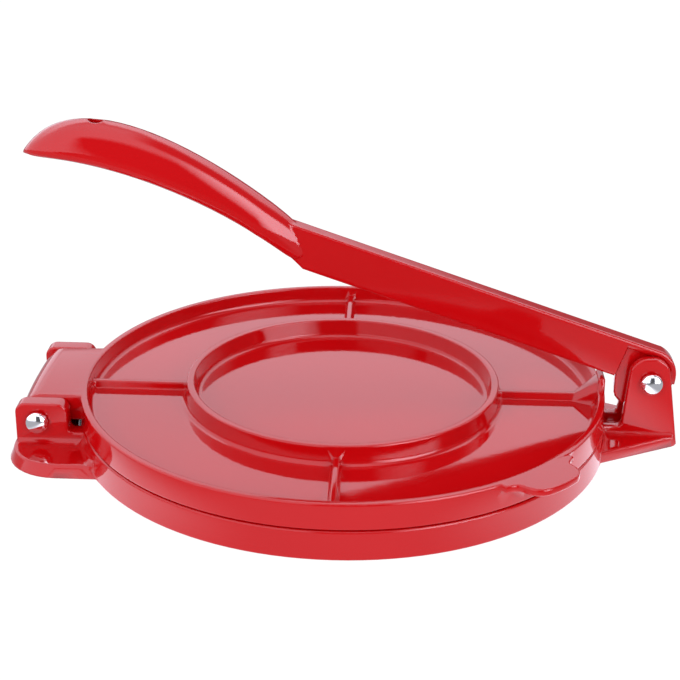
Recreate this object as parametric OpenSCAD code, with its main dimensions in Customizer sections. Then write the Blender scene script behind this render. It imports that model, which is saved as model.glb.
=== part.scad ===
// Cast tortilla press, shut on its plates with the lever raised clear of them.
// +X runs from the plate hinge to the lever, +Y away from the lift tab, +Z up.
// The origin is on the table, under the middle of the whole press.

/* [Plates] */
// Diameter of the top plate at its rim
plate_d = 255; // [225:1:275]
// Height of the base plate, from the table to its pressing face
base_h = 13.5; // [12:0.5:16]
// Height of the top plate, from its pressing face to its rim
top_h = 12.5; // [12:0.5:14]
// Gap between the pressing faces of the shut press
seam = 0.5; // [0.4:0.1:1]
// Thickness of each plate behind its pressing face
web_t = 4.2; // [3.5:0.1:5]
// Width of each rim's crest
rim_w = 3.3; // [2.5:0.1:5]
// How far the skirt of the base flares out to the table
skirt_flare = 1; // [0.5:0.1:2]
// Radius of the rounded edges of the castings
edge_r = 1; // [0.5:0.1:1.2]
// Radius of the fillets where walls meet a plate
fillet_r = 2.5; // [1.5:0.1:3]
// How far each wall leans over its height, to leave the mould
draft = 1; // [0.5:0.1:1.5]

/* [Ring and ribs] */
// Outer diameter of the centre ring
ring_d = 152.6; // [130:0.5:170]
// Width of the ring's crest
ring_w = 3.5; // [2.5:0.1:5]
// How far the top plate's ring stands above its rim
ring_rise = 0.9; // [0:0.1:1.5]
// Height of the radial ribs above the plate
rib_h = 3.8; // [2.5:0.1:5]
// Width of a rib's crest
rib_w = 2.7; // [2:0.1:4]
// Half the width of the pressing lug at the rim
lug_half_w = 8; // [6.5:0.5:12]
// How far the lug stands above the rim
lug_h = 5.9; // [3:0.1:6]
// Length of the lug's gusset, from the rim inward
gusset_l = 11.5; // [9:0.5:18]

/* [Lift tab] */
// Width of the lift tab
tab_w = 32; // [24:1:40]
// How far the tab stands out from the rim
tab_l = 15; // [11:0.5:20]
// Thickness of the tab
tab_t = 3.6; // [3:0.1:5]
// Angle of the tab round the plate
tab_angle = -46; // [-60:1:-30]

/* [Plate hinge] */
// Distance from the plates' centre to the hinge pin
hinge_reach = 143.4; // [141:0.5:150]
// Height of the hinge pin
hinge_h = 16.7; // [16.5:0.1:18]
// Width of the knuckle between the ears
knuckle_w = 58.4; // [45:0.5:70]
// Thickness of each hinge ear
hinge_ear_t = 8.5; // [6:0.5:11]
// Clearance on each side of the knuckle
hinge_side_gap = 0.3; // [0.2:0.1:0.5]
// Radius of the knuckle's barrel
knuckle_r = 10.3; // [8.5:0.1:10.3]
// How much thinner the knuckle is at its ends than in its middle
knuckle_crown = 0.9; // [0:0.1:1.5]
// Length of each hinge ear along the press
hinge_ear_l = 25; // [22:0.5:28]
// Height of the hinge ears above the table
hinge_ear_h = 25.7; // [24:0.1:28]
// Height of the low block that ties each ear to the base
hinge_block_h = 11; // [9:0.5:12.5]
// Width of the hinge foot
hinge_foot_w = 126.6; // [110:1:140]
// How far the foot reaches out past the hinge pin
hinge_foot_reach = 13.6; // [12:0.1:18]
// Thickness of the hinge foot
hinge_foot_t = 6; // [5:0.1:6.3]

/* [Lever bracket] */
// Distance from the plates' centre to the lever pin
pivot_reach = 148.9; // [148:0.5:156]
// Height of the lever pin
pivot_h = 32.6; // [31:0.1:36]
// Thickness of each lever ear
lever_ear_t = 4.7; // [4:0.1:7]
// Clearance on each side of the lever
lever_side_gap = 0.3; // [0.2:0.1:0.5]
// Height of the lever ears above their pin
lever_ear_top = 12.2; // [10.5:0.1:14]
// Thickness of the bracket's flange
flange_t = 5; // [4:0.1:6]
// How far the flange reaches out past the pin
flange_reach = 15.5; // [15.4:0.1:20]
// Half the width of the flange at its outer end
flange_end_w = 10.8; // [10.4:0.1:14]

/* [Lever] */
// Angle of the lever's arm above level as the press stands
lever_angle = 18.6; // [17:0.1:22]
// Width of the bar
bar_w = 10; // [8:0.1:13]
// Top of the bar above the line of the arm
bar_top = 14.7; // [13.5:0.1:16]
// Underside of the bar below the line of the arm
bar_drop = 4.9; // [4:0.1:5.5]
// Distance along the arm from the pin to the elbow where the grip starts
elbow = 176; // [165:1:190]
// Distance along the arm from the pin to the tip of the grip
grip_end = 317.5; // [290:0.5:340]
// Full width of the grip
grip_w = 25; // [20:0.5:32]
// Thickness of the thin edge round the grip's underside
grip_band = 3; // [2:0.1:4]
// Radius of the lever's round end about its pin
nose_r = 13.5; // [13:0.1:14.5]
// How far the lever's heel reaches from its pin toward the plates
heel_reach = 16.4; // [15:0.1:17]
// Radius of the heel about the pin
heel_r = 19.2; // [17:0.1:19.6]
// Radius of the lever's boss round its pin
boss_r = 7.4; // [6:0.1:7.8]
// Depth of the pocket in each side of the lever's end
pocket_d = 2; // [1:0.1:3]
// Diameter of the hanging hole
hang_d = 7.2; // [5:0.1:10]
// Distance of the hanging hole from the grip's tip
hang_back = 28; // [22:0.5:40]

/* [Rods and caps] */
// Diameter of both steel rods
rod_d = 6; // [5:0.1:6.5]
// Radial clearance of the moving pieces on their rods
run_fit = 0.06; // [0.04:0.01:0.09]
// Radial clearance of the fixed pieces on the rods
seat_fit = 0.03; // [0.02:0.01:0.05]
// Diameter of the domed caps
cap_d = 10.6; // [9.5:0.1:12]
// Height of the domed caps
cap_h = 3.6; // [3:0.1:4.5]
// How far a rod reaches into each cap
cap_grip = 1.8; // [1:0.1:2.2]

/* [Hidden] */
$fn = 96;

RED = [0.78, 0.07, 0.09];
STEEL = [0.62, 0.63, 0.65];
CHROME = [0.86, 0.87, 0.89];

big = 400;                             // longer than any cut needs to be
plate_r = plate_d / 2;
top_z = base_h + seam;                 // pressing face of the top plate
rim_z = top_z + top_h;                 // crest of the top plate's rim
floor_z = top_z + web_t;               // bottom of the top plate's wells
well_r = plate_r - rim_w;              // inner edge of the rim's crest
ring_r = ring_d / 2;
wall_r = plate_r - rim_w / 2;          // middle of the rim's wall, where brackets are tied in
base_r = plate_r + 0.3 + skirt_flare;  // the base's skirt where it meets the table

hinge_ear_y = knuckle_w / 2 + hinge_side_gap;
hinge_out_y = hinge_ear_y + hinge_ear_t;
lever_ear_y = bar_w / 2 + lever_side_gap;
lever_out_y = lever_ear_y + lever_ear_t;
foot_left = hinge_reach + hinge_foot_reach;
flange_right = pivot_reach + flange_reach;
centre_x = (flange_right - foot_left) / 2;

// ---- outlines ----

// Corner b of an outline, between a and c, as an arc of radius b[2]; a radius of 0 keeps it sharp
function corner(a, b, c, steps) =
    let (p = [b[0], b[1]],
         u = [a[0] - b[0], a[1] - b[1]] / norm([a[0] - b[0], a[1] - b[1]]),
         v = [c[0] - b[0], c[1] - b[1]] / norm([c[0] - b[0], c[1] - b[1]]),
         half = acos(u * v) / 2,
         turn = sign(u[1] * v[0] - u[0] * v[1]),
         middle = p + (u + v) / norm(u + v) * b[2] / sin(half),
         first = p + u * b[2] / tan(half) - middle,
         start = atan2(first[1], first[0]),
         sweep = turn * (180 - 2 * half))
    b[2] == 0 ? [p] : [for (i = [0:steps])
        let (t = start + sweep * i / steps) middle + b[2] * [cos(t), sin(t)]];

// An outline of [x, y, corner radius] points, each corner rounded or filleted
function rounded(pts, steps = 6) =
    [for (i = [0:len(pts) - 1])
        each corner(pts[(i + len(pts) - 1) % len(pts)], pts[i], pts[(i + 1) % len(pts)], steps)];

// Every point's side value flipped, for the other half of a symmetric outline
function flipped(pts) = [for (i = [len(pts) - 1:-1:0]) [pts[i][0], -pts[i][1], pts[i][2]]];

// An anticlockwise outline of [x, y, corner radius] points moved in by d, its corner count kept
function inset(pts, d) =
    [for (i = [0:len(pts) - 1])
        let (n = len(pts), a = pts[(i + n - 1) % n], b = pts[i], c = pts[(i + 1) % n],
             u = [b[0] - a[0], b[1] - a[1]] / norm([b[0] - a[0], b[1] - a[1]]),
             v = [c[0] - b[0], c[1] - b[1]] / norm([c[0] - b[0], c[1] - b[1]]),
             m = [-u[1] - v[1], u[0] + v[0]] / (1 + u * v),
             turn = sign(u[0] * v[1] - u[1] * v[0]))
        [b[0] + d * m[0], b[1] + d * m[1], b[2] == 0 ? 0 : max(0.1, b[2] - turn * d)]];

// A closed skin through rings of equally many points, each ring anticlockwise as seen from the next,
// and ends, the middles of the first and the last, from which their whole rings can be seen
module loft(rings, ends) {
    n = len(rings[0]);
    m = len(rings);
    skin = [for (j = [0:m - 2], i = [0:n - 1])
        let (k = (i + 1) % n, a = j * n + i, b = j * n + k, c = (j + 1) * n + k, d = (j + 1) * n + i)
        each [[a, c, b], [a, d, c]]];
    caps = [for (i = [0:n - 1])
        let (k = (i + 1) % n) each [[m * n, i, k], [m * n + 1, (m - 1) * n + k, (m - 1) * n + i]]];
    polyhedron(concat([for (r = rings) each r], ends), concat(skin, caps));
}

// A plate of thickness t over an anticlockwise outline that can all be seen from eye, its walls
// leaning in by lean, its upper edges rounded and, where low is true, its lower edges as well
module soft_plate(t, outline, eye, lean, low) {
    up = [for (a = [0:30:90]) [t - edge_r + edge_r * sin(a), lean + edge_r * (1 - cos(a))]];
    down = low ? [for (a = [90:-30:0]) [edge_r - edge_r * sin(a), edge_r * (1 - cos(a))]] : [[0, 0]];
    loft([for (s = concat(down, up)) [for (q = rounded(inset(outline, s[1]), 10)) [q[0], q[1], s[0]]]],
         [[eye[0], eye[1], 0], [eye[0], eye[1], t]]);
}

// An upright slab with rounded edges between y0 and y1 whose outline lies in the X-Z plane
module slab(y0, y1, outline, eye) {
    translate([0, y1, 0]) rotate([90, 0, 0]) soft_plate(y1 - y0, outline, eye, 0, true);
}

// A cylinder along Y between y0 and y1, on the axis at x and z
module pin(x, z, r, y0, y1) {
    translate([x, y1, z]) rotate([90, 0, 0]) cylinder(r = r, h = y1 - y0);
}

// Moves the plates' centre to its place in the whole press
module placed() translate([-centre_x, 0, 0]) children();

// The children and their mirror image across the X-Z plane
module both_sides() {
    children();
    mirror([0, 1, 0]) children();
}

// ---- plates ----

// Half section of a plate with its pressing face at height 0 and its walls standing up to h:
// outer radii at the face and the crest, and how far the ring stands above the rim
function plate_section(face_r, crest_r, h, rise) =
    let (crest_in = crest_r - rim_w, ring_in = ring_r - ring_w)
    rounded([[0, 0, 0], [face_r, 0, edge_r], [crest_r, h, edge_r],
             [crest_in, h, edge_r * 0.8], [crest_in - draft, web_t, fillet_r],
             [ring_r + draft, web_t, fillet_r], [ring_r, h + rise, edge_r * 0.8],
             [ring_in, h + rise, edge_r * 0.8], [ring_in - draft, web_t, fillet_r],
             [0, web_t, 0]]);

// Section of a rib across its length, rounded on its crest and spread where it meets the plate
rib_section = rounded([[-rib_w / 2 - draft * 1.8, -0.5, 0], [rib_w / 2 + draft * 1.8, -0.5, 0],
                       [rib_w / 2 + draft * 0.8, 0.5, fillet_r / 2], [rib_w / 2, rib_h, edge_r * 0.8],
                       [-rib_w / 2, rib_h, edge_r * 0.8], [-rib_w / 2 - draft * 0.8, 0.5, fillet_r / 2]], 4);

// One rib from the ring to the rim along +X, standing on a plate whose web ends at height 0,
// with a small spread in plan where it runs into the ring and into the rim
module rib(crest_r) {
    inner = ring_r - ring_w / 2;
    outer = crest_r - rim_w / 2;
    spread = rib_w / 2 + fillet_r;
    ring_wall = ring_r + draft / 2;
    rim_wall = crest_r - rim_w - draft / 2;
    translate([inner, 0, 0]) rotate([90, 0, 90]) linear_extrude(outer - inner) polygon(rib_section);
    translate([0, 0, -0.5]) linear_extrude(rib_h - 0.1) {
        polygon(rounded([[inner, -spread, 0], [ring_wall, -spread, 0], [ring_wall, -rib_w / 2, fillet_r],
                         [ring_wall + 2 * fillet_r, -rib_w / 2, 0], [ring_wall + 2 * fillet_r, rib_w / 2, 0],
                         [ring_wall, rib_w / 2, fillet_r], [ring_wall, spread, 0], [inner, spread, 0]]));
        polygon(rounded([[rim_wall - 2 * fillet_r, -rib_w / 2, 0], [rim_wall, -rib_w / 2, fillet_r],
                         [rim_wall, -spread, 0], [outer, -spread, 0], [outer, spread, 0],
                         [rim_wall, spread, 0], [rim_wall, rib_w / 2, fillet_r],
                         [rim_wall - 2 * fillet_r, rib_w / 2, 0]]));
    }
}

// A plate with its four ribs, pressing face down at height 0
module plate(face_r, crest_r, h, rise) {
    rotate_extrude($fn = 180) polygon(plate_section(face_r, crest_r, h, rise));
    for (a = [0:90:270]) rotate(a) translate([0, 0, web_t]) rib(crest_r);
}

// ---- base plate ----

hinge_foot_outline = [[-foot_left, -hinge_foot_w / 2, 26], [-plate_r * 0.6, -hinge_foot_w / 2, 0],
                      [-plate_r * 0.6, hinge_foot_w / 2, 0], [-foot_left, hinge_foot_w / 2, 26]];

// Fillet of radius r where a foot with that outline and height t meets the base's skirt
module skirt_fillet(t, r, outline) {
    intersection() {
        translate([0, 0, t]) rotate_extrude($fn = 180) translate([plate_r + 0.6, 0]) polygon(cove(r));
        linear_extrude(base_h) polygon(rounded(inset(outline, 2)));
    }
}

// Foot, ears and tying blocks of the plate hinge, to be cut clear of the hollow of the base
module hinge_bracket() {
    ear_in = hinge_reach - hinge_ear_l / 2 - 1.8;
    ear_out = ear_in + hinge_ear_l;
    web_end = plate_r * 0.9;
    soft_plate(hinge_foot_t, hinge_foot_outline, [-hinge_reach, 0], foot_lean, false);
    skirt_fillet(hinge_foot_t, 4, hinge_foot_outline);
    ear = [[-ear_out, 0, 0], [-web_end, 0, 0], [-web_end, hinge_block_h, 0],
           [-ear_in, hinge_block_h, fillet_r], [-ear_in, hinge_ear_h, 5], [-ear_out, hinge_ear_h, 5]];
    slab(hinge_ear_y, hinge_out_y, ear, [-hinge_reach, 5]);
    slab(-hinge_out_y, -hinge_ear_y, ear, [-hinge_reach, 5]);
    both_sides() translate([1 - ear_out, hinge_out_y - edge_r, hinge_foot_t]) rotate([90, 0, 90])
        linear_extrude(ear_out - 1 - web_end) polygon(cove(hinge_block_h - hinge_foot_t));
}

// A concave fillet's section in the corner of two walls along its axes
function cove(r) = concat([[-1, -1], [r, -1]],
    [for (i = [0:8]) let (t = 270 - 90 * i / 8) [r + r * cos(t), r + r * sin(t)]], [[-1, r]]);

foot_lean = 2;                         // how far the hinge foot's sides lean in over their height
flange_root_w = 47;
flange_root = [plate_r * 0.76, flange_root_w];

// Flange and ears of the lever bracket, to be cut clear of the hollow of the base
module lever_bracket() {
    half = [[flange_root[0], -flange_root[1], 0], [flange_right, -flange_end_w, 7]];
    outline = concat(half, flipped(half));
    ear_left = pivot_reach - 12.6;
    ear_right = pivot_reach + 15.1;
    ear_top = pivot_h + lever_ear_top;
    block_h = flange_t + 4;
    web_end = plate_r - rim_w + 1;
    soft_plate(flange_t, outline, [pivot_reach, 0], foot_lean / 2, false);
    skirt_fillet(flange_t, 4, outline);
    ear = [[web_end, 0, 0], [ear_right, 0, 0], [ear_right - 7.4, ear_top, 8.6],
           [ear_left + 2.8, ear_top, 8.6], [ear_left, block_h, fillet_r], [web_end, block_h, 0]];
    slab(lever_ear_y, lever_out_y, ear, [pivot_reach, 5]);
    slab(-lever_out_y, -lever_ear_y, ear, [pivot_reach, 5]);
    both_sides() translate([web_end, lever_out_y - edge_r, flange_t]) rotate([90, 0, 90])
        linear_extrude(ear_right - 2.5 - web_end) polygon(cove(4));
}

module base_plate() {
    color(RED) placed() difference() {
        union() {
            translate([0, 0, base_h]) mirror([0, 0, 1]) plate(plate_r + 0.3, base_r, base_h, 0);
            difference() {
                union() {
                    hinge_bracket();
                    lever_bracket();
                }
                translate([0, 0, -1]) cylinder(r = wall_r, h = base_h + 1, $fn = 180);
            }
        }
        pin(-hinge_reach, hinge_h, rod_d / 2 + seat_fit, -hinge_out_y - 1, hinge_out_y + 1);
        pin(pivot_reach, pivot_h, rod_d / 2 + seat_fit, -lever_out_y - 1, lever_out_y + 1);
    }
}

// ---- top plate ----

// Lift tab along +X, its upper face at height 0
module lift_tab() {
    root = plate_r - rim_w + 0.6;
    out = plate_r + tab_l;
    half = [[root, -tab_w / 2 - 6, 0], [plate_r + 1, -tab_w / 2 - 6, 0], [plate_r + 3.5, -tab_w / 2, 4],
            [out - 1, -tab_w / 2 + 1, 9]];
    translate([0, 0, -tab_t])
        soft_plate(tab_t, concat(half, [[out + 0.6, 0, 40]], flipped(half)), [plate_r + 2, 0], 0, true);
}

// Pressing lug: the rim stands up under the lever, and a gusset carries it down to the rib along +X
module pressing_lug() {
    inner = well_r - gusset_l;
    wall = well_r + rim_w / 2;
    lug = [[well_r, -lug_half_w, 1.4], [plate_r, -lug_half_w, 1.4],
           [plate_r, lug_half_w, 1.4], [well_r, lug_half_w, 1.4]];
    loft([for (s = concat([[rim_z - 2, 0, 0]],
                          [for (a = [0:30:90]) [rim_z + lug_h - edge_r * (1 - sin(a)), edge_r * (1 - cos(a)), 1]]))
        [for (q = rounded(inset(lug, s[1]))) [q[0], q[1] * (1 - 0.2 * s[2]), s[0]]]],
         [[wall, 0, rim_z - 2], [wall, 0, rim_z + lug_h]]);
    hull() {
        translate([0, 0, floor_z - 0.5]) linear_extrude(0.6)
            polygon([[inner, -rib_w], [inner, rib_w], [wall, lug_half_w * 1.15], [wall, -lug_half_w * 1.15]]);
        translate([0, 0, floor_z + rib_h - 0.2]) linear_extrude(0.1)
            polygon([[inner + 1, -rib_w / 2], [inner + 1, rib_w / 2], [wall, lug_half_w], [wall, -lug_half_w]]);
        translate([0, 0, rim_z + lug_h - 2.1]) linear_extrude(0.1)
            polygon([[well_r, -lug_half_w * 0.5], [well_r, lug_half_w * 0.5], [wall, lug_half_w * 0.7],
                     [wall, -lug_half_w * 0.7]]);
    }
}

// Outline of the knuckle across its axis: a barrel of radius r and the web that carries it
function knuckle_section(r) =
    let (last = 360 + asin((top_z - hinge_h) / r))
    concat([for (i = [0:28]) let (a = 90 + (last - 90) * i / 28) [r * cos(a) - hinge_reach, hinge_h + r * sin(a)]],
           [[-plate_r * 0.9, top_z], [-plate_r * 0.9, rim_z]]);

// Crowned barrel round the hinge pin with its web, rounded at both ends, level with the rim
module knuckle() {
    half = knuckle_w / 2;
    across = concat([for (a = [90:-22.5:22.5]) -half + 2 * (1 - sin(a))], [for (i = [-6:6]) (half - 2) * i / 6],
                    [for (a = [22.5:22.5:90]) half - 2 * (1 - sin(a))]);
    difference() {
        rotate([90, 0, 0])
            loft([for (y = across)
                      let (end = max(0, (abs(y) - half) / 2 + 1),
                           r = knuckle_r - knuckle_crown * pow(y / half, 2) - 2 * (1 - sqrt(max(0, 1 - end * end))))
                      [for (q = knuckle_section(r)) [q[0], q[1], y]]],
                 [[-hinge_reach, hinge_h, -half], [-hinge_reach, hinge_h, half]]);
        translate([0, 0, top_z - 1]) cylinder(r = plate_r - rim_w + 0.8, h = big, $fn = 180);
    }
}

module top_plate() {
    color(RED) placed() difference() {
        union() {
            translate([0, 0, top_z]) plate(plate_r + 0.3, plate_r, top_h, ring_rise);
            pressing_lug();
            translate([0, 0, rim_z]) rotate(tab_angle) lift_tab();
            knuckle();
        }
        pin(-hinge_reach, hinge_h, rod_d / 2 + run_fit, -knuckle_w, knuckle_w);
    }
}

// ---- lever ----
// In the lever's own frame the arm runs along -X from its pin, with +Z above it.

// Point on the cubic curve through p[0] and p[3], shaped by p[1] and p[2]
function curve(p, t) = pow(1 - t, 3) * p[0] + 3 * pow(1 - t, 2) * t * p[1]
                     + 3 * (1 - t) * t * t * p[2] + pow(t, 3) * p[3];

// Height of such a curve at distance u along the arm, found by halving
function height_at(p, u, lo = 0, hi = 1, n = 24) =
    let (mid = (lo + hi) / 2)
    n == 0 ? curve(p, mid)[1]
    : curve(p, mid)[0] < u ? height_at(p, u, mid, hi, n - 1) : height_at(p, u, lo, mid, n - 1);

grip_l = grip_end - elbow;
crest_curve = [[elbow + 0.057 * grip_l, bar_top - 0.7], [elbow + 0.348 * grip_l, bar_top + 16.1],
               [elbow + 0.91 * grip_l, bar_top + 35.7], [grip_end, 5.2]];
under_curve = [[elbow, -bar_drop], [elbow + 0.226 * grip_l, bar_top - 2.3],
               [elbow + 0.683 * grip_l, bar_top + 4.9], [grip_end, 4.4]];

thumb_lead = 6;                        // how far the grip's rounded end lies over the bar
shoulder_l = 15;                       // length of that rounded end
tip_l = 16;                            // length of the grip's round end in plan
bar_edge = 1.7;                        // radius of the bar's long edges
lip_t = 3.5;                           // thickness of the lip round the pockets at the lever's end
step_u = 16.7;                         // where the bar's full width ends and the pockets start
hair = 0.5;                            // the smallest step between two swept sections

function ease(t) = let (c = max(0, min(1, t))) c * c * (3 - 2 * c);
function quarter(t) = let (c = max(0, min(1, t))) sqrt(c * (2 - c));

nose_u = 1.3;                          // the round end's middle is a little off the pin
nose_z = bar_top - nose_r;
heel_u = (heel_reach - bar_drop * sin(lever_angle)) / cos(lever_angle);

// Height of the round end's outline, above (s = 1) or below (s = -1) its middle
function nose(u, s) = nose_z + s * sqrt(max(0, nose_r * nose_r - (u - nose_u) * (u - nose_u)));

// Underside of the heel: upright on the plate's side as the press stands, then round about the pin
function heel(u) = max((u * cos(lever_angle) - heel_reach) / sin(lever_angle), -sqrt(heel_r * heel_r - u * u));

// Half width of the grip, upper height and lower height of the lever at distance u along the arm
function grip_half(u) =
    (grip_w / 2 - 1.8 + 1.8 * ease((u - elbow - 10) / (grip_l / 2)))
    * quarter((u - elbow + thumb_lead) / shoulder_l) * quarter((grip_end - u) / tip_l);
function upper(u) =
    let (crest = height_at(crest_curve, u))
    u < nose_u ? nose(u, 1) + 0.2 : u < elbow + grip_l / 2 ? max(bar_top, crest) : crest;
function lower(u) =
    let (t = ease((u + 11) / 12))
    u < heel_u ? nose(u, -1) * (1 - t) + heel(u) * t : u <= elbow ? -bar_drop : height_at(under_curve, u);

ring_steps = 7;

// Underside of the lip that runs along the top of the lever's end and down round its nose
function lip_under(u) = u > nose_u ? bar_top - lip_t
    : nose_z + sqrt(max(0, pow(nose_r - lip_t, 2) - pow(u - nose_u, 2)));

// Distance from a middle to a rounded box of half width w and height h, in direction a
function reach(a, w, h, power) =
    pow(pow(abs(cos(a)) / max(w, 0.01), power) + pow(abs(sin(a)) / max(h, 0.01), power), -1 / power);

// Section of the round end and the bar at distance u: a web under a lip, then a box with rounded edges
function bar_section(u) =
    let (w = bar_w / 2, top = upper(u), low = lower(u),
         web = u < step_u)
    [for (q = [0:3], i = [0:ring_steps])
        let (side = q == 0 || q == 3 ? 1 : -1,
             lift = q < 2 ? 1 : -1,
             end = q < 2 ? top : low,
             r = min(bar_edge, (top - low) * 0.4),
             wide = web && q > 1 ? w - pocket_d : w,
             waist = web && (q == 0 || q == 2 ? i == 0 : i == ring_steps),
             a = 90 * (q + i / ring_steps))
        [side * (wide - r) + r * cos(a), waist ? lip_under(u) : end - lift * r + r * sin(a)]];

// Section of the grip: a dome over a thin-edged, nearly flat underside, whose rounded end swells out
// of the bar's sides while the bar dies away into it
function grip_section(u) =
    let (top = upper(u), low = lower(u), tall = top - low,
         grown = ease((u - elbow + thumb_lead) / 30),
         mid = low + min(grip_band + 6 * (1 - grown), tall * 0.45),
         core = bar_w / 2 * (1 - 0.85 * ease((u - elbow) / 26)) * quarter((grip_end - u) / tip_l),
         full = ease((u - elbow + thumb_lead) / 14))
    [for (q = [0:3], i = [0:ring_steps])
        let (box = bar_section(elbow - thumb_lead - 1)[q * (ring_steps + 1) + i],
             from = atan2(box[1] - (bar_top - bar_drop) / 2, box[0]),
             to = 90 * (q + (i + 0.5) / (ring_steps + 1)),
             a = to * grown + (from < 0 ? from + 360 : from) * (1 - grown),
             h = q < 2 ? top - mid : mid - low,
             r = max(reach(a, core, h, 10),
                     reach(a, grip_half(u), h * (q < 2 ? 0.8 + 0.2 * full : 0.3 + 0.7 * full), q < 2 ? 2 : 5)))
        [r * cos(a), mid + r * sin(a)]];

function section(u) = u < elbow - thumb_lead ? bar_section(u) : grip_section(u);

swept_stations = 30;

// Distances along the arm of the swept sections: round the nose, over the heel, past the step where
// the bar's full width starts, then along the grip, closer together toward its tip
stations = concat(
    [for (i = [0:10]) nose_u - nose_r * cos(5 + 8.5 * i)],
    [for (i = [1:12]) nose_u + (heel_u - nose_u) * sin(7.5 * i)],
    [step_u - hair, step_u],
    [elbow - thumb_lead - hair],
    [for (i = [0:5]) elbow - thumb_lead + 0.02 + shoulder_l * (1 - cos(9 * i))], [elbow],
    [for (i = [6:9]) elbow - thumb_lead + 0.02 + shoulder_l * (1 - cos(9 * i))],
    [for (i = [0:swept_stations])
        let (from = elbow - thumb_lead + shoulder_l)
        from + (grip_end - 0.03 - from) * sin(90 * i / swept_stations)]);

// Round end, bar and grip as one skin swept through the stations
module arm() {
    loft([for (u = stations)
              let (ring = section(u)) [for (i = [len(ring) - 1:-1:0]) [-u, ring[i][0], ring[i][1]]]],
         [for (u = [stations[0], stations[len(stations) - 1]]) [-u, 0, (upper(u) + lower(u)) / 2]]);
}

module lever() {
    color(RED) placed() translate([pivot_reach, 0, pivot_h]) rotate([0, lever_angle, 0]) difference() {
        union() {
            arm();
            pin(0, 0, boss_r, -bar_w / 2, bar_w / 2);
        }
        pin(0, 0, rod_d / 2 + run_fit, -bar_w, bar_w);
        translate([hang_back - grip_end, 0, 0]) cylinder(d = hang_d, h = big);
    }
}

// ---- rods and caps ----

// A rod through a pair of ears, reaching into a cap at each end
module rod(x, z, out_y) {
    color(STEEL) placed() pin(x, z, rod_d / 2, -out_y - cap_grip, out_y + cap_grip);
}

// A domed cap pushed on a rod's end, seated on the ear's face; side is -1 near, 1 far
module cap(x, z, out_y, side) {
    r = cap_d / 2;
    rim = 0.8;
    dome = [for (i = [0:12]) let (t = 90 * i / 12) [r * cos(t), rim + (cap_h - rim) * sin(t)]];
    color(CHROME) placed() translate([x, side * out_y, z]) rotate([-90 * side, 0, 0]) difference() {
        rotate_extrude() polygon(concat([[0, 0], [r - 0.3, 0], [r, 0.3]], dome));
        translate([0, 0, -1]) cylinder(r = rod_d / 2 + seat_fit, h = cap_grip + 1.1);
    }
}

module hinge_rod() rod(-hinge_reach, hinge_h, hinge_out_y);
module hinge_cap_near() cap(-hinge_reach, hinge_h, hinge_out_y, -1);
module hinge_cap_far() cap(-hinge_reach, hinge_h, hinge_out_y, 1);
module lever_rod() rod(pivot_reach, pivot_h, lever_out_y);
module lever_cap_near() cap(pivot_reach, pivot_h, lever_out_y, -1);
module lever_cap_far() cap(pivot_reach, pivot_h, lever_out_y, 1);

base_plate();
top_plate();
lever();
hinge_rod();
hinge_cap_near();
hinge_cap_far();
lever_rod();
lever_cap_near();
lever_cap_far();
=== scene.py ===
"""Looks of a cast tortilla press: powder coat, chromed caps, bright rods, floor, lights and camera."""

import logging
import math
from dataclasses import dataclass
from enum import Enum

import bpy
from mathutils import Matrix, Vector


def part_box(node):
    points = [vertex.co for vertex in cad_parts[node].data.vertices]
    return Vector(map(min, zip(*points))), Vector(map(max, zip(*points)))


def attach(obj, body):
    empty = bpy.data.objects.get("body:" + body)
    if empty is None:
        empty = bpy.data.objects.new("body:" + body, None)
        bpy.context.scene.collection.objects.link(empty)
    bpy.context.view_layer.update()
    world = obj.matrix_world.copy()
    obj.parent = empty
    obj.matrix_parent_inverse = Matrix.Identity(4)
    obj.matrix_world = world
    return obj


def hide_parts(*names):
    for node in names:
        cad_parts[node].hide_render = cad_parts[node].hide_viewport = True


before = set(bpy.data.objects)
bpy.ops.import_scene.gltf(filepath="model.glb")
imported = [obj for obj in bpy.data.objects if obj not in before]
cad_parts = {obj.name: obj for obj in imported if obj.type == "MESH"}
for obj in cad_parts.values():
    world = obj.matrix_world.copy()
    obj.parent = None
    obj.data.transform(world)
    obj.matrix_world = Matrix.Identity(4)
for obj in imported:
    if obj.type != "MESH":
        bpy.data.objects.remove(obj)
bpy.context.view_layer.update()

Object = bpy.types.Object
Material = bpy.types.Material
Tree = bpy.types.NodeTree
Node = bpy.types.Node
Socket = bpy.types.NodeSocket
Pair = tuple[float, float]
Triple = tuple[float, float, float]
Ring = tuple[float, float, float, float]  # distance along the arm, underside, top and half width, in mm

MM = 0.001
LOG = logging.getLogger("press")
CENTRE_X = 3.7 * MM  # how far the plates' centre lies left of the frame's origin
NOISE_SPAN: Pair = (0.3, 0.7)  # where nearly all of a noise texture's values lie


class Body(Enum):
    """The moving bodies of the press."""

    BASE = "base"
    TOP_PLATE = "top_plate"
    LEVER = "lever"


def deselect() -> None:
    """Leave object mode with nothing selected."""
    if bpy.context.object and bpy.context.object.mode != "OBJECT":
        bpy.ops.object.mode_set(mode="OBJECT")
    bpy.ops.object.select_all(action="DESELECT")


def activate(obj: Object) -> None:
    """Select one object alone and make it the active one.

    Args:
        obj: The object.
    """
    deselect()
    obj.select_set(True)
    bpy.context.view_layer.objects.active = obj


def keep(name: str) -> Object:
    """Name the active object, turn its scale and place into its mesh, and leave it deselected.

    Args:
        name: The object's name.

    Returns:
        The finished object.
    """
    obj = bpy.context.object
    obj.name = name
    activate(obj)
    bpy.ops.object.transform_apply(location=True, rotation=True, scale=True)
    deselect()
    return obj


# ---- shared effects ----


def opaque(color: Triple) -> tuple[float, float, float, float]:
    """Give a colour full alpha."""
    return (*color, 1.0)


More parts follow.
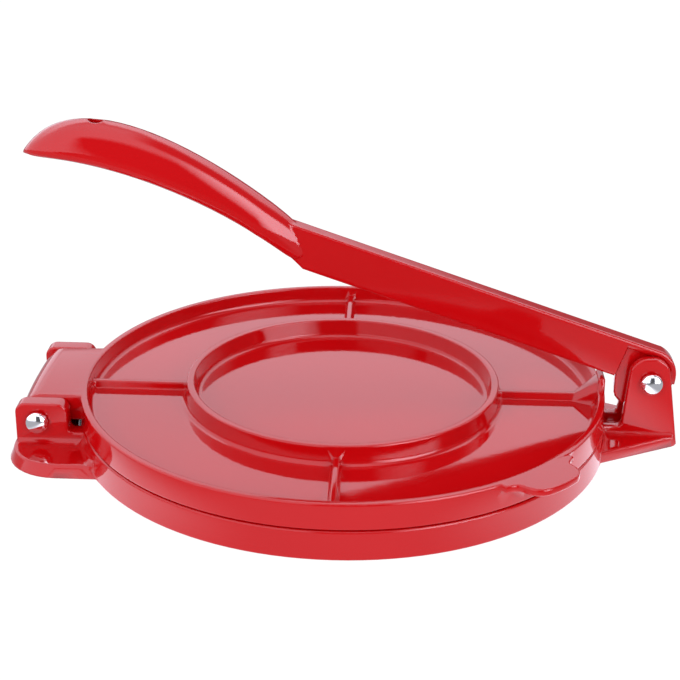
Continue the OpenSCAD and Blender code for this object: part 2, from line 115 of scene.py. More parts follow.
def new_group(name: str, inputs: list[tuple[str, str, float]], outputs: list[tuple[str, str]]) -> Tree:
    """Start a shader node group.

    Args:
        name: The group's name.
        inputs: Name, socket type and default value of each input.
        outputs: Name and socket type of each output.

    Returns:
        The new group, holding only its group input and output nodes.
    """
    group = bpy.data.node_groups.new(name, "ShaderNodeTree")
    for label, kind, value in inputs:
        socket = group.interface.new_socket(label, in_out="INPUT", socket_type=kind)
        socket.default_value = value
    for label, kind in outputs:
        group.interface.new_socket(label, in_out="OUTPUT", socket_type=kind)
    group.nodes.new("NodeGroupInput").name = "in"
    group.nodes.new("NodeGroupOutput").name = "out"
    return group


def add_node(tree: Tree, kind: str, **values: object) -> Node:
    """Add a node to a tree and set its properties or its unlinked inputs.

    Args:
        tree: The node tree.
        kind: The node's type name.
        values: Properties by name, or input values by name with spaces as underscores.

    Returns:
        The new node.
    """
    node = tree.nodes.new(kind)
    for key, value in values.items():
        if hasattr(node, key):
            setattr(node, key, value)
        else:
            node.inputs[key.replace("_", " ")].default_value = value
    return node


def fade(tree: Tree, value: Socket, reach: Pair, start: float, end: float) -> Socket:
    """Turn a value into a level that goes smoothly from one to another.

    Args:
        tree: The node tree.
        value: The value that is read, such as a distance.
        reach: The two values between which the level changes.
        start: The level before them.
        end: The level past them.

    Returns:
        The level's output socket.
    """
    spread = add_node(tree, "ShaderNodeMapRange", interpolation_type="SMOOTHSTEP")
    for key, number in zip(("From Min", "From Max", "To Min", "To Max"), (*reach, start, end)):
        spread.inputs[key].default_value = number
    tree.links.new(value, spread.inputs["Value"])
    return spread.outputs["Result"]


def blended(tree: Tree, share: Socket, first: Socket, second: Socket) -> Socket:
    """Mix two levels.

    Args:
        tree: The node tree.
        share: How much of the second level shows, from 0 to 1.
        first: The first level.
        second: The second level.

    Returns:
        The mixed level's output socket.
    """
    mix = add_node(tree, "ShaderNodeMix", data_type="FLOAT")
    for key, source in (("Factor", share), ("A", first), ("B", second)):
        tree.links.new(source, mix.inputs[key])
    return mix.outputs["Result"]


def together(tree: Tree, *shares: Socket) -> Socket:
    """Multiply shares, so that what is left lies inside all of them.

    Args:
        tree: The node tree.
        shares: The shares, each from 0 to 1.

    Returns:
        The product's output socket.
    """
    product = shares[0]
    for share in shares[1:]:
        times = add_node(tree, "ShaderNodeMath", operation="MULTIPLY")
        tree.links.new(product, times.inputs[0])
        tree.links.new(share, times.inputs[1])
        product = times.outputs["Value"]
    return product


def toward(tree: Tree, level: Socket, share: Socket, goal: float) -> Socket:
    """Bring a level to a fixed one where the share is 1.

    Args:
        tree: The node tree.
        level: The level that is changed.
        share: How far it is changed, from 0 to 1.
        goal: The fixed level.

    Returns:
        The new level's output socket.
    """
    mix = add_node(tree, "ShaderNodeMix", data_type="FLOAT")
    tree.links.new(share, mix.inputs["Factor"])
    tree.links.new(level, mix.inputs["A"])
    mix.inputs["B"].default_value = goal
    return mix.outputs["Result"]


def levels(tree: Tree, height: Socket, stops: tuple[Pair, ...]) -> Socket:
    """Set a level by height, in straight lines from stop to stop.

    Args:
        tree: The node tree.
        height: The height of the direction that is seen, from 0 level to 1 straight up.
        stops: Height and level of each stop.

    Returns:
        The level's output socket.
    """
    ramp = add_node(tree, "ShaderNodeFloatCurve")
    points = ramp.mapping.curves[0].points
    peak = max(level for _, level in stops)
    while len(points) < len(stops):
        points.new(0.5, 0.5)
    for point, (at, level) in zip(points, stops):
        point.location = (at, level / peak)
        point.handle_type = "VECTOR"
    ramp.mapping.update()
    scale = add_node(tree, "ShaderNodeMath", operation="MULTIPLY")
    scale.inputs[1].default_value = peak
    tree.links.new(height, ramp.inputs["Value"])
    tree.links.new(ramp.outputs["Value"], scale.inputs[0])
    return scale.outputs["Value"]


def tinted(tree: Tree, level: Socket, color: Triple) -> Socket:
    """Colour a level.

    Args:
        tree: The node tree.
        level: The level.
        color: Its colour at level 1.

    Returns:
        The coloured level's output socket.
    """
    tint = add_node(tree, "ShaderNodeVectorMath", operation="SCALE")
    tint.inputs[0].default_value = color
    tree.links.new(level, tint.inputs["Scale"])
    return tint.outputs["Vector"]


def peel_group() -> Tree:
    """Soft waviness of a sprayed and baked coat, over a finer grain.

    Returns:
        A group with inputs Wave Scale, Grain Scale and Grain Share, and output Height.
    """
    group = new_group("coat_peel",
                      [("Wave Scale", "NodeSocketFloat", 260.0), ("Grain Scale", "NodeSocketFloat", 1400.0),
                       ("Grain Share", "NodeSocketFloat", 0.25)],
                      [("Height", "NodeSocketFloat")])
    start, end = group.nodes["in"], group.nodes["out"]
    place = add_node(group, "ShaderNodeTexCoord")
    wave = add_node(group, "ShaderNodeTexNoise", Detail=2.0, Roughness=0.45)
    grain = add_node(group, "ShaderNodeTexNoise", Detail=1.0, Roughness=0.5)
    mix = add_node(group, "ShaderNodeMix", data_type="FLOAT")
    link = group.links.new
    link(place.outputs["Object"], wave.inputs["Vector"])
    link(place.outputs["Object"], grain.inputs["Vector"])
    link(start.outputs["Wave Scale"], wave.inputs["Scale"])
    link(start.outputs["Grain Scale"], grain.inputs["Scale"])
    link(start.outputs["Grain Share"], mix.inputs["Factor"])
    link(wave.outputs["Fac"], mix.inputs["A"])
    link(grain.outputs["Fac"], mix.inputs["B"])
    link(mix.outputs["Result"], end.inputs["Height"])
    return group


def clouding_group() -> Tree:
    """Slow, faint variation over a whole casting.

    Returns:
        A group with inputs Scale, Low and High, and output Value between Low and High.
    """
    group = new_group("clouding",
                      [("Scale", "NodeSocketFloat", 14.0), ("Low", "NodeSocketFloat", 0.0),
                       ("High", "NodeSocketFloat", 1.0)],
                      [("Value", "NodeSocketFloat")])
    start, end = group.nodes["in"], group.nodes["out"]
    place = add_node(group, "ShaderNodeTexCoord")
    noise = add_node(group, "ShaderNodeTexNoise", Detail=4.0, Roughness=0.55)
    spread = add_node(group, "ShaderNodeMapRange")
    spread.inputs["From Min"].default_value, spread.inputs["From Max"].default_value = NOISE_SPAN
    link = group.links.new
    link(place.outputs["Object"], noise.inputs["Vector"])
    link(start.outputs["Scale"], noise.inputs["Scale"])
    link(noise.outputs["Fac"], spread.inputs["Value"])
    link(start.outputs["Low"], spread.inputs["To Min"])
    link(start.outputs["High"], spread.inputs["To Max"])
    link(spread.outputs["Result"], end.inputs["Value"])
    return group


# ---- finishes ----


def new_material(name: str) -> tuple[Material, Tree, Node]:
    """Make a material with its Principled shader.

    Args:
        name: The material's name.

    Returns:
        The material, its node tree and its shader node.
    """
    material = bpy.data.materials.new(name)
    material.use_nodes = True
    tree = material.node_tree
    shader = next(n for n in tree.nodes if n.type == "BSDF_PRINCIPLED")
    return material, tree, shader


@dataclass(frozen=True)
class PowderCoat:
    """Glossy baked red coat over a casting."""

    name: str
    refraction: float = 1.5
    clear_weight: float = 0.1
    clear_roughness: float = 0.03
    deep: Triple = (0.57, 0.0024, 0.0042)
    bright: Triple = (0.62, 0.0032, 0.0056)
    roughness_low: float = 0.05
    roughness_high: float = 0.08
    tint_scale: float = 9.0
    gloss_scale: float = 40.0
    peel_height: float = 0.035 * MM
    peel_strength: float = 0.6
    edge_round: float = 0.9 * MM
    edge_samples: int = 6

    def build(self, peel: Tree, clouding: Tree) -> Material:
        """Make the coat's material.

        Args:
            peel: The shared waviness group.
            clouding: The shared variation group.

        Returns:
            The finished material.
        """
        material, tree, shader = new_material(self.name)
        link = tree.links.new
        for key, value in (("Metallic", 0.0), ("IOR", self.refraction), ("Coat Weight", self.clear_weight),
                           ("Coat Roughness", self.clear_roughness)):
            shader.inputs[key].default_value = value
        shade = add_node(tree, "ShaderNodeGroup", node_tree=clouding, Scale=self.tint_scale)
        tint = add_node(tree, "ShaderNodeMix", data_type="RGBA")
        tint.inputs["A"].default_value = opaque(self.deep)
        tint.inputs["B"].default_value = opaque(self.bright)
        link(shade.outputs["Value"], tint.inputs["Factor"])
        link(tint.outputs["Result"], shader.inputs["Base Color"])
        gloss = add_node(tree, "ShaderNodeGroup", node_tree=clouding, Scale=self.gloss_scale,
                         Low=self.roughness_low, High=self.roughness_high)
        link(gloss.outputs["Value"], shader.inputs["Roughness"])
        waves = add_node(tree, "ShaderNodeGroup", node_tree=peel)
        soft = add_node(tree, "ShaderNodeBevel", samples=self.edge_samples, Radius=self.edge_round)
        bump = add_node(tree, "ShaderNodeBump", Strength=self.peel_strength, Distance=self.peel_height)
        link(waves.outputs["Height"], bump.inputs["Height"])
        link(soft.outputs["Normal"], bump.inputs["Normal"])
        link(bump.outputs["Normal"], shader.inputs["Normal"])
        return material


@dataclass(frozen=True)
class BrightMetal:
    """Chrome plate or drawn steel, with faint handling marks."""

    name: str
    color: Triple
    roughness_low: float
    roughness_high: float
    mark_scale: float
    wave_height: float = 0.01 * MM
    wave_strength: float = 0.15

    def build(self, peel: Tree, clouding: Tree) -> Material:
        """Make the metal's material.

        Args:
            peel: The shared waviness group.
            clouding: The shared variation group.

        Returns:
            The finished material.
        """
        material, tree, shader = new_material(self.name)
        link = tree.links.new
        shader.inputs["Metallic"].default_value = 1.0
        shader.inputs["Base Color"].default_value = opaque(self.color)
        marks = add_node(tree, "ShaderNodeGroup", node_tree=clouding, Scale=self.mark_scale,
                         Low=self.roughness_low, High=self.roughness_high)
        link(marks.outputs["Value"], shader.inputs["Roughness"])
        waves = add_node(tree, "ShaderNodeGroup", node_tree=peel)
        bump = add_node(tree, "ShaderNodeBump", Strength=self.wave_strength, Distance=self.wave_height)
        link(waves.outputs["Height"], bump.inputs["Height"])
        link(bump.outputs["Normal"], shader.inputs["Normal"])
        return material


def dress(obj: Object, material: Material) -> None:
    """Give an object one material in place of all it has.

    Args:
        obj: The object.
        material: Its material.
    """
    obj.data.materials.clear()
    obj.data.materials.append(material)


# ---- studio ----


@dataclass(frozen=True)
class PictureCamera:
    """The camera that frames the press from the front, a little above it."""

    azimuth: float = 1.931
    elevation: float = 22.928
    roll: float = 0.769
    target_mm: Triple = (-1.673, 0.0, 46.55)
    distance_mm: float = 732.37
    focal_px: float = 1503.8
    frame_px: int = 680
    sensor_mm: float = 36.0

    def build(self) -> Object:
        """Make the camera and make it the scene's own.

        Returns:
            The camera object.
        """
        az, el, roll = (math.radians(a) for a in (self.azimuth, self.elevation, self.roll))
        back = Vector((math.sin(az) * math.cos(el), -math.cos(az) * math.cos(el), math.sin(el)))
        level = Vector((math.cos(az), math.sin(az), 0.0))
        upright = back.cross(level)
        right = level * math.cos(roll) + upright * math.sin(roll)
        up = upright * math.cos(roll) - level * math.sin(roll)
        place = Vector(self.target_mm) * MM - Vector((CENTRE_X, 0, 0)) + back * self.distance_mm * MM
        data = bpy.data.cameras.new("camera")
        data.sensor_fit = "HORIZONTAL"
        data.sensor_width = self.sensor_mm
        data.lens = self.focal_px / self.frame_px * self.sensor_mm
        data.clip_start, data.clip_end = 0.01, 50.0
        camera = bpy.data.objects.new("camera", data)
        bpy.context.scene.collection.objects.link(camera)
        turn = Matrix((right, up, back)).transposed().to_4x4()
        camera.matrix_world = Matrix.Translation(place) @ turn
        bpy.context.scene.camera = camera
        return camera


@dataclass(frozen=True)
class Softbox:
    """One rectangular soft light."""

    name: str
    place: Triple
    aim: Triple
    width: float
    depth: float
    power: float

    def build(self) -> None:
        """Make the light, turned toward its aim."""
        data = bpy.data.lights.new(self.name, "AREA")
        data.shape = "RECTANGLE"
        data.size, data.size_y, data.energy = self.width, self.depth, self.power
        lamp = bpy.data.objects.new(self.name, data)
        bpy.context.scene.collection.objects.link(lamp)
        lamp.visible_glossy = False
        lamp.location = self.place
        lamp.rotation_mode = "QUATERNION"
        lamp.rotation_quaternion = (Vector(self.aim) - Vector(self.place)).to_track_quat("-Z", "Y")


@dataclass(frozen=True)
class Studio:
    """A white floor, a soft sky and soft lights, with a tent of light round the press in the gloss alone.

    A level of 1 is plain white. A direction is read by its parts across (left to right), back and height,
    and a reach is the pair of values between which one level fades into the next.
    """

    floor_size: float = 12.0
    floor_drop: float = 0.2 * MM  # keeps the floor clear of the press's underside
    floor_color: Triple = (0.10, 0.10, 0.10)
    floor_roughness: float = 0.6
    floor_glow: float = 0.97
    # The floor in the gloss, by distance from the frame's origin: in front of the press, and beside it
    near_glow: float = 0.6
    far_glow: float = 0.07
    near_reach: Pair = (0.178, 0.206)
    side_glow: float = 1.6
    ear_glow: float = 0.34
    side_reach: Pair = (0.145, 0.18)
    sector_lean: float = 0.5  # how fast the part in front widens toward the front
    sector_edge: Pair = (-0.03, 0.07)
    cool: Triple = (1.0, 1.0, 1.12)
    fill: float = 0.52
    backdrop: float = 1.05
    # The tent in front: an arch of light round a dark hole, with a dark gap at its right
    left_leg: float = 1.5
    arch_top: float = 1.6
    right_leg: float = 6.0
    left_turn: Pair = (-0.25, 0.0)
    right_turn: Pair = (0.25, 0.6)
    hole_left: Pair = (-0.20, -0.12)
    hole_right: Pair = (0.32, 0.42)
    hole_top: Pair = (0.66, 0.82)
    hole_level: float = 0.09
    gap_back: Pair = (-0.42, -0.22)
    gap_left: Pair = (0.15, 0.35)
    gap_level: float = 0.2
    # The tent behind: dark low down, pale above, and pale low at the left
    back_edge: Pair = (0.15, 0.5)
    back_left: Pair = (-0.34, -0.16)
    back_left_top: Pair = (0.22, 0.34)
    back_left_level: float = 1.6
    back_stops: tuple[Pair, ...] = (
        (0.0, 0.15), (0.24, 0.2), (0.32, 1.5), (0.50, 1.55),
        (0.62, 2.2), (0.78, 2.8), (0.88, 1.0), (1.0, 0.6))
    lamps: tuple[Softbox, ...] = (
        Softbox("overhead", (-0.1, 0.1, 1.3), (0.0, 0.0, 0.0), 0.9, 0.7, 3.0),
        Softbox("front_left", (-0.9, -1.2, 0.75), (0.0, 0.0, 0.05), 0.7, 0.7, 6.2),
        Softbox("front_right", (0.9, -1.2, 0.75), (0.0, 0.0, 0.05), 0.7, 0.7, 5.4),
    )

    def build(self) -> None:
        """Make the floor, the sky and the lamps."""
        self.build_floor()
        self.build_sky()
        for lamp in self.lamps:
            lamp.build()

    def build_floor(self) -> None:
        """Lay the plain white floor, whose glow in the gloss is strong beside the press and weak in front."""
        deselect()
        bpy.ops.mesh.primitive_plane_add(size=self.floor_size, location=(0, 0, -self.floor_drop))
        floor = bpy.context.object
        floor.name = "floor"
        material, tree, shader = new_material("floor")
        link = tree.links.new
        shader.inputs["Base Color"].default_value = opaque(self.floor_color)
        shader.inputs["Roughness"].default_value = self.floor_roughness
        shader.inputs["Specular IOR Level"].default_value = 0.0
        place = add_node(tree, "ShaderNodeTexCoord")
        axes = add_node(tree, "ShaderNodeSeparateXYZ")
        aside = add_node(tree, "ShaderNodeMath", operation="ABSOLUTE")
        lean = add_node(tree, "ShaderNodeMath", operation="MULTIPLY_ADD")
        lean.inputs[1].default_value = self.sector_lean
        away = add_node(tree, "ShaderNodeVectorMath", operation="LENGTH")
        link(place.outputs["Object"], axes.inputs["Vector"])
        link(place.outputs["Object"], away.inputs[0])
        link(axes.outputs["X"], aside.inputs[0])
        link(axes.outputs["Y"], lean.inputs[0])
        link(aside.outputs["Value"], lean.inputs[2])
        distance = away.outputs["Value"]
        level = blended(tree, fade(tree, lean.outputs["Value"], self.sector_edge, 0.0, 1.0),
                        fade(tree, distance, self.near_reach, self.near_glow, self.far_glow),
                        fade(tree, distance, self.side_reach, self.side_glow, self.ear_glow))
        rays = add_node(tree, "ShaderNodeLightPath")
        choice = add_node(tree, "ShaderNodeMix", data_type="RGBA")
        choice.inputs["A"].default_value = opaque((self.floor_glow,) * 3)
        link(tinted(tree, level, self.cool), choice.inputs["B"])
        link(rays.outputs["Is Glossy Ray"], choice.inputs["Factor"])
        link(choice.outputs["Result"], shader.inputs["Emission Color"])
        shader.inputs["Emission Strength"].default_value = 1.0
        dress(floor, material)

    def build_sky(self) -> None:
        """Surround the press with the tent in the gloss, an even fill elsewhere and a white backdrop."""
        world = bpy.data.worlds.new("surroundings")
        world.use_nodes = True
        tree = world.node_tree
        link = tree.links.new
        sky = next(n for n in tree.nodes if n.type == "BACKGROUND")
        rays = add_node(tree, "ShaderNodeLightPath")
        gloss = add_node(tree, "ShaderNodeMix", data_type="RGBA")
        gloss.inputs["A"].default_value = opaque((self.fill,) * 3)
        shown = add_node(tree, "ShaderNodeMix", data_type="RGBA")
        shown.inputs["B"].default_value = opaque((self.backdrop,) * 3)
        link(tinted(tree, self.tent(tree), self.cool), gloss.inputs["B"])
        link(rays.outputs["Is Glossy Ray"], gloss.inputs["Factor"])
        link(gloss.outputs["Result"], shown.inputs["A"])
        link(rays.outputs["Is Camera Ray"], shown.inputs["Factor"])
        link(shown.outputs["Result"], sky.inputs["Color"])
        sky.inputs["Strength"].default_value = 1.0
        bpy.context.scene.world = world

    def tent(self, tree: Tree) -> Socket:
        """Set the tent's level in each direction.

        Args:
            tree: The world's node tree.

        Returns:
            The level's output socket.
        """
        place = add_node(tree, "ShaderNodeTexCoord")
        axes = add_node(tree, "ShaderNodeSeparateXYZ")
        tree.links.new(place.outputs["Generated"], axes.inputs["Vector"])
        across, back, height = (axes.outputs[key] for key in "XYZ")
        arch = blended(tree, fade(tree, across, self.right_turn, 0.0, 1.0),
                       fade(tree, across, self.left_turn, self.left_leg, self.arch_top),
                       fade(tree, across, self.right_turn, self.arch_top, self.right_leg))
        hole = together(tree, fade(tree, across, self.hole_left, 0.0, 1.0),
                        fade(tree, across, self.hole_right, 1.0, 0.0),
                        fade(tree, height, self.hole_top, 1.0, 0.0))
        gap = together(tree, fade(tree, back, self.gap_back, 0.0, 1.0),
                       fade(tree, across, self.gap_left, 0.0, 1.0))
        front = toward(tree, toward(tree, arch, hole, self.hole_level), gap, self.gap_level)
        low_left = together(tree, fade(tree, across, self.back_left, 1.0, 0.0),
                            fade(tree, height, self.back_left_top, 1.0, 0.0))
        rear = toward(tree, levels(tree, height, self.back_stops), low_left, self.back_left_level)
        return blended(tree, fade(tree, back, self.back_edge, 0.0, 1.0), front, rear)


# ---- the press ----


def finish_piece(obj: Object, node: str, body: Body, material: Material) -> None:
    """Let a piece stand for a node, on its body and in its finish.

    Args:
        obj: The piece.
        node: The node that it stands for.
        body: The moving body that carries it.
        material: Its material.
    """
    dress(obj, material)
    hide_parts(node)
    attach(obj, body.value)
    LOG.info("%s stands for %s on %s", obj.name, node, body.value)


@dataclass(frozen=True)
class Casting:
    """One red casting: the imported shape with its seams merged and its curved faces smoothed."""

    node: str
    body: Body
    slot: str
    crease: float = 38.0  # edges that turn more than this many degrees stay sharp
    merge: float = 0.002 * MM
    flat_weight: int = 60  # how far large faces win over small ones in the shading

    def build(self, coat: Material) -> Object:
        """Make the casting.

        Args:
            coat: The powder coat.

        Returns:
            The finished piece.
        """
        piece = self.merged_copy(f"{self.node}_casting")
        self.smooth(piece)
        finish_piece(piece, self.node, self.body, coat)
        return piece

    def merged_copy(self, name: str) -> Object:
        """Copy the node and merge the copy's loose triangles.

        Args:
            name: The copy's name.

        Returns:
            The copy, selected and active.
        """
        piece = bpy.data.objects.new(name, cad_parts[self.node].data.copy())
        bpy.context.scene.collection.objects.link(piece)
        activate(piece)
        bpy.ops.object.mode_set(mode="EDIT")
        bpy.ops.mesh.select_all(action="SELECT")
        bpy.ops.mesh.remove_doubles(threshold=self.merge)
        bpy.ops.object.mode_set(mode="OBJECT")
        return piece

    def smooth(self, piece: Object) -> None:
        """Shade a piece smooth up to its creases, flat faces staying flat beside their rounded edges.

        Args:
            piece: The piece.
        """
        activate(piece)
        bpy.ops.object.shade_smooth_by_angle(angle=math.radians(self.crease))
        bpy.ops.object.modifier_add(type="WEIGHTED_NORMAL")
        weights = piece.modifiers[-1]
        weights.keep_sharp = True
        weights.weight = self.flat_weight
        bpy.ops.object.modifier_apply(modifier=weights.name)


@dataclass(frozen=True)
class LeverCasting(Casting):
    """The lever, its grip ending in a rounded thumb that lies over the bar's sides at the elbow.

    The work is done with the arm laid along X, its pin at the origin, in millimetres along and above it.
    """

    pin: Pair = (145.2, 32.6)  # across and above the frame's origin
    rise: float = 18.6  # angle of the arm as the press stands
    bar_end: float = 168.0
    grip_start: float = 203.0
    end_slack: float = 0.001  # how near the cut a vertex must lie to be on its edge
    bar_rings: tuple[Ring, ...] = (
        (176.4, -4.85, 14.7, 5.0), (178.2, -3.9, 14.7, 5.0), (182.0, -2.0, 14.7, 5.0),
        (186.0, -0.3, 14.7, 5.0), (190.0, 1.5, 14.7, 4.7), (196.0, 4.2, 16.0, 4.0), (202.0, 7.0, 18.0, 3.0))
    thumb_rings: tuple[Ring, ...] = (
        (200.0, 4.55, 19.9, 10.6), (197.0, 3.65, 18.85, 10.2), (194.0, 2.68, 17.75, 9.7),
        (191.0, 1.65, 16.6, 9.1), (188.4, 0.7, 15.5, 8.45), (186.0, -0.15, 14.2, 7.8),
        (183.9, -0.75, 12.7, 7.15), (182.1, -0.95, 11.0, 6.6), (180.6, -0.7, 9.2, 6.1),
        (179.4, 0.1, 7.5, 5.6), (178.4, 1.4, 5.8, 5.1), (177.8, 2.6, 4.6, 4.7))

    def build(self, coat: Material) -> Object:
        """Make the lever.

        Args:
            coat: The powder coat.

        Returns:
            The finished piece.
        """
        turn = math.radians(self.rise)
        along = Vector((-math.cos(turn), 0, math.sin(turn)))
        up = Vector((math.sin(turn), 0, math.cos(turn)))
        stand = Matrix((along, (0, -1, 0), up)).transposed().to_4x4()
        stand.translation = Vector((self.pin[0], 0, self.pin[1])) * MM
        bar = self.cut_copy("bar", stand, self.bar_end, keep_outer=False)
        self.draw_out(bar, self.bar_end, self.bar_rings)
        grip = self.cut_copy("grip", stand, self.grip_start, keep_outer=True)
        self.draw_out(grip, self.grip_start, self.thumb_rings)
        activate(bar)
        bpy.ops.object.modifier_add(type="BOOLEAN")
        join = bar.modifiers[-1]
        join.operation, join.solver, join.object = "UNION", "EXACT", grip
        bpy.ops.object.modifier_apply(modifier=join.name)
        bpy.data.objects.remove(grip)
        bar.name = f"{self.node}_casting"
        bar.matrix_world = stand
        activate(bar)
        bpy.ops.object.transform_apply(location=True, rotation=True, scale=True)
        self.smooth(bar)
        finish_piece(bar, self.node, self.body, coat)
        return bar

    def cut_copy(self, name: str, stand: Matrix, at: float, keep_outer: bool) -> Object:
        """Lay a merged copy of the node along X and cut it across.

        Args:
            name: The copy's name.
            stand: Turns the laid arm back to its place.
            at: Distance of the cut along the arm.
            keep_outer: Whether the part past the cut stays.

        Returns:
            The open part.
        """
        part = self.merged_copy(name)
        part.matrix_world = stand.inverted()
        bpy.ops.object.transform_apply(location=True, rotation=True, scale=True)
        bpy.ops.object.mode_set(mode="EDIT")
        bpy.ops.mesh.select_all(action="SELECT")
        bpy.ops.mesh.bisect(plane_co=(at * MM, 0, 0), plane_no=(1, 0, 0), clear_inner=keep_outer,
                            clear_outer=not keep_outer)
        bpy.ops.object.mode_set(mode="OBJECT")
        return part

    def draw_out(self, part: Object, start: float,
                 rings: tuple[Ring, ...]) -> None:
        """Extrude a part's open end ring by ring, then close it.

        Args:
            part: The open part.
            start: Where its open end lies along the arm.
            rings: Distance, underside, top and half width of each ring.
        """
        activate(part)
        end = [v.co for v in part.data.vertices if abs(v.co.x - start * MM) < self.end_slack * MM]
        at, low, high = start, min(c.z for c in end) / MM, max(c.z for c in end) / MM
        half = max(c.y for c in end) / MM
        bpy.ops.object.mode_set(mode="EDIT")
        bpy.ops.mesh.select_mode(type="EDGE")
        bpy.ops.mesh.select_all(action="DESELECT")
        bpy.ops.mesh.select_non_manifold(extend=False, use_wire=False, use_boundary=True,
                                         use_multi_face=False, use_non_contiguous=False, use_verts=False)
        for reach, under, top, wide in rings:
            step = ((reach - at) * MM, 0, (under - low) * MM)
            bpy.ops.mesh.extrude_edges_move(TRANSFORM_OT_translate={"value": step})
            bpy.ops.transform.resize(value=(1, wide / half, (top - under) / (high - low)),
                                     center_override=(reach * MM, 0, under * MM))
            at, low, high, half = reach, under, top, wide
        bpy.ops.mesh.edge_face_add()
        bpy.ops.mesh.select_all(action="SELECT")
        bpy.ops.mesh.normals_make_consistent(inside=False)
        bpy.ops.object.mode_set(mode="OBJECT")


@dataclass(frozen=True)
class Rod:
    """A drawn steel rod across a hinge, with chamfered ends inside its caps."""

    node: str
    segments: int = 48
    chamfer: float = 0.35 * MM
    chamfer_steps: int = 2
    end_angle: float = 60.0  # only the end edges turn more than this many degrees
    crease: float = 30.0

    def build(self, steel: Material) -> Object:
        """Make the rod where its node lies.

        Args:
            steel: The rod's material.

        Returns:
            The finished piece.
        """
        low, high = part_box(self.node)
        deselect()
        bpy.ops.mesh.primitive_cylinder_add(vertices=self.segments, radius=(high.x - low.x) / 2,
                                            depth=high.y - low.y, location=(low + high) / 2,
                                            rotation=(math.pi / 2, 0, 0))
        bpy.ops.object.mode_set(mode="EDIT")
        bpy.ops.mesh.select_all(action="DESELECT")
        bpy.ops.mesh.select_mode(type="EDGE")
        bpy.ops.mesh.edges_select_sharp(sharpness=math.radians(self.end_angle))
        bpy.ops.mesh.bevel(offset=self.chamfer, segments=self.chamfer_steps)
        bpy.ops.object.mode_set(mode="OBJECT")
        bpy.ops.object.shade_smooth_by_angle(angle=math.radians(self.crease))
        rod = keep(f"{self.node}_bright")
        finish_piece(rod, self.node, Body.BASE, steel)
        return rod


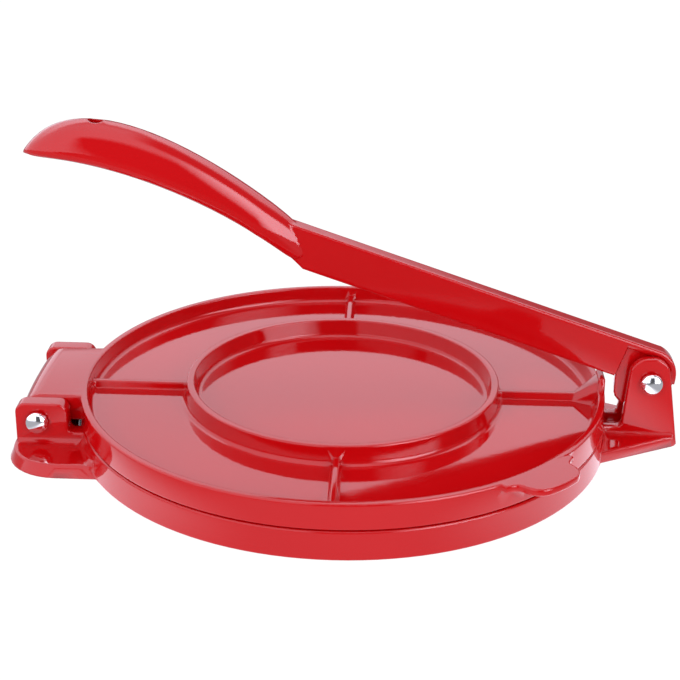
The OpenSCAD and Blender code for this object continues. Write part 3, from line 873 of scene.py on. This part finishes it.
@dataclass(frozen=True)
class DomedCap:
    """A chromed push-on cap: a domed shell over a short straight wall, hollow where it grips the rod."""

    node: str
    side: int  # -1 near, 1 far
    segments: int = 64
    rings: int = 40
    crease: float = 40.0
    wall: float = 0.8 * MM
    grip: float = 1.8 * MM
    bore: float = 6.1 * MM
    seat_slack: float = 0.01 * MM  # how near the open side a face must lie to be part of it
    level_normal: float = 0.9

    def build(self, chrome: Material) -> Object:
        """Make the cap where its node lies, its open side on the ear.

        Args:
            chrome: The cap's material.

        Returns:
            The finished piece.
        """
        low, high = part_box(self.node)
        radius, height = (high.x - low.x) / 2, high.y - low.y
        seat = Vector(((low.x + high.x) / 2, low.y if self.side > 0 else high.y, (low.z + high.z) / 2))
        deselect()
        bpy.ops.mesh.primitive_uv_sphere_add(segments=self.segments, ring_count=self.rings, radius=radius,
                                             location=(0, 0, 0))
        cap = bpy.context.object
        bpy.ops.object.mode_set(mode="EDIT")
        bpy.ops.mesh.select_all(action="SELECT")
        bpy.ops.mesh.bisect(plane_co=(0, 0, 0), plane_no=(0, 0, 1), clear_inner=True, clear_outer=False)
        bpy.ops.mesh.select_all(action="SELECT")
        bpy.ops.transform.resize(value=(1, 1, (height - self.wall) / radius))
        bpy.ops.transform.translate(value=(0, 0, self.wall))
        bpy.ops.mesh.select_mode(type="EDGE")
        bpy.ops.mesh.select_all(action="DESELECT")
        bpy.ops.mesh.select_non_manifold(extend=False, use_boundary=True)
        bpy.ops.mesh.extrude_region_move(TRANSFORM_OT_translate={"value": (0, 0, -self.wall)})
        bpy.ops.mesh.fill()
        bpy.ops.object.mode_set(mode="OBJECT")
        self.hollow(cap, radius)
        bpy.ops.object.shade_smooth_by_angle(angle=math.radians(self.crease))
        cap.rotation_euler = (-self.side * math.pi / 2, 0, 0)
        cap.location = seat
        cap = keep(f"{self.node}_domed")
        finish_piece(cap, self.node, Body.BASE, chrome)
        return cap

    def hollow(self, cap: Object, radius: float) -> None:
        """Sink the grip's bore into the cap's open side.

        Args:
            cap: The cap, with its open side on the ground plane.
            radius: The cap's outer radius.
        """
        activate(cap)
        bpy.ops.object.mode_set(mode="EDIT")
        bpy.ops.mesh.select_mode(type="FACE")
        bpy.ops.mesh.select_all(action="DESELECT")
        bpy.ops.object.mode_set(mode="OBJECT")
        for face in cap.data.polygons:
            face.select = face.center.z < self.seat_slack and abs(face.normal.z) > self.level_normal
        bpy.ops.object.mode_set(mode="EDIT")
        bpy.ops.mesh.dissolve_faces()
        bpy.ops.mesh.inset(thickness=radius - self.bore / 2)
        bpy.ops.mesh.extrude_region_move(TRANSFORM_OT_translate={"value": (0, 0, self.grip)})
        bpy.ops.mesh.select_all(action="SELECT")
        bpy.ops.mesh.normals_make_consistent(inside=False)
        bpy.ops.object.mode_set(mode="OBJECT")


@dataclass(frozen=True)
class Press:
    """The whole press, casting by casting and hinge by hinge."""

    castings: tuple[Casting, ...] = (
        Casting("base_plate", Body.BASE, "base_coat"),
        Casting("top_plate", Body.TOP_PLATE, "plate_coat"),
        LeverCasting("lever", Body.LEVER, "lever_coat"),
    )
    rods: tuple[Rod, ...] = (Rod("hinge_rod"), Rod("lever_rod"))
    caps: tuple[DomedCap, ...] = (
        DomedCap("hinge_cap_near", -1), DomedCap("hinge_cap_far", 1),
        DomedCap("lever_cap_near", -1), DomedCap("lever_cap_far", 1),
    )

    def build(self, coat: Material, steel: Material, chrome: Material) -> None:
        """Make every piece in its own finish.

        Args:
            coat: The castings' powder coat.
            steel: The rods' material.
            chrome: The caps' material.
        """
        for casting in self.castings:
            casting.build(coat)
        for rod in self.rods:
            rod.build(steel)
        for cap in self.caps:
            cap.build(chrome)


def main() -> None:
    """Build the set, then dress the press piece by piece."""
    logging.basicConfig(level=logging.INFO, format="%(name)s: %(message)s")
    PictureCamera().build()
    Studio().build()
    peel, clouding = peel_group(), clouding_group()
    Press().build(
        PowderCoat("red_powder_coat").build(peel, clouding),
        BrightMetal("drawn_steel", (0.82, 0.83, 0.84), 0.50, 0.62, 120.0).build(peel, clouding),
        BrightMetal("chrome_plate", (0.93, 0.935, 0.94), 0.09, 0.14, 60.0).build(peel, clouding),
    )
    scene = bpy.context.scene
    scene.view_settings.view_transform = "Standard"


if __name__ == "__main__":
    main()
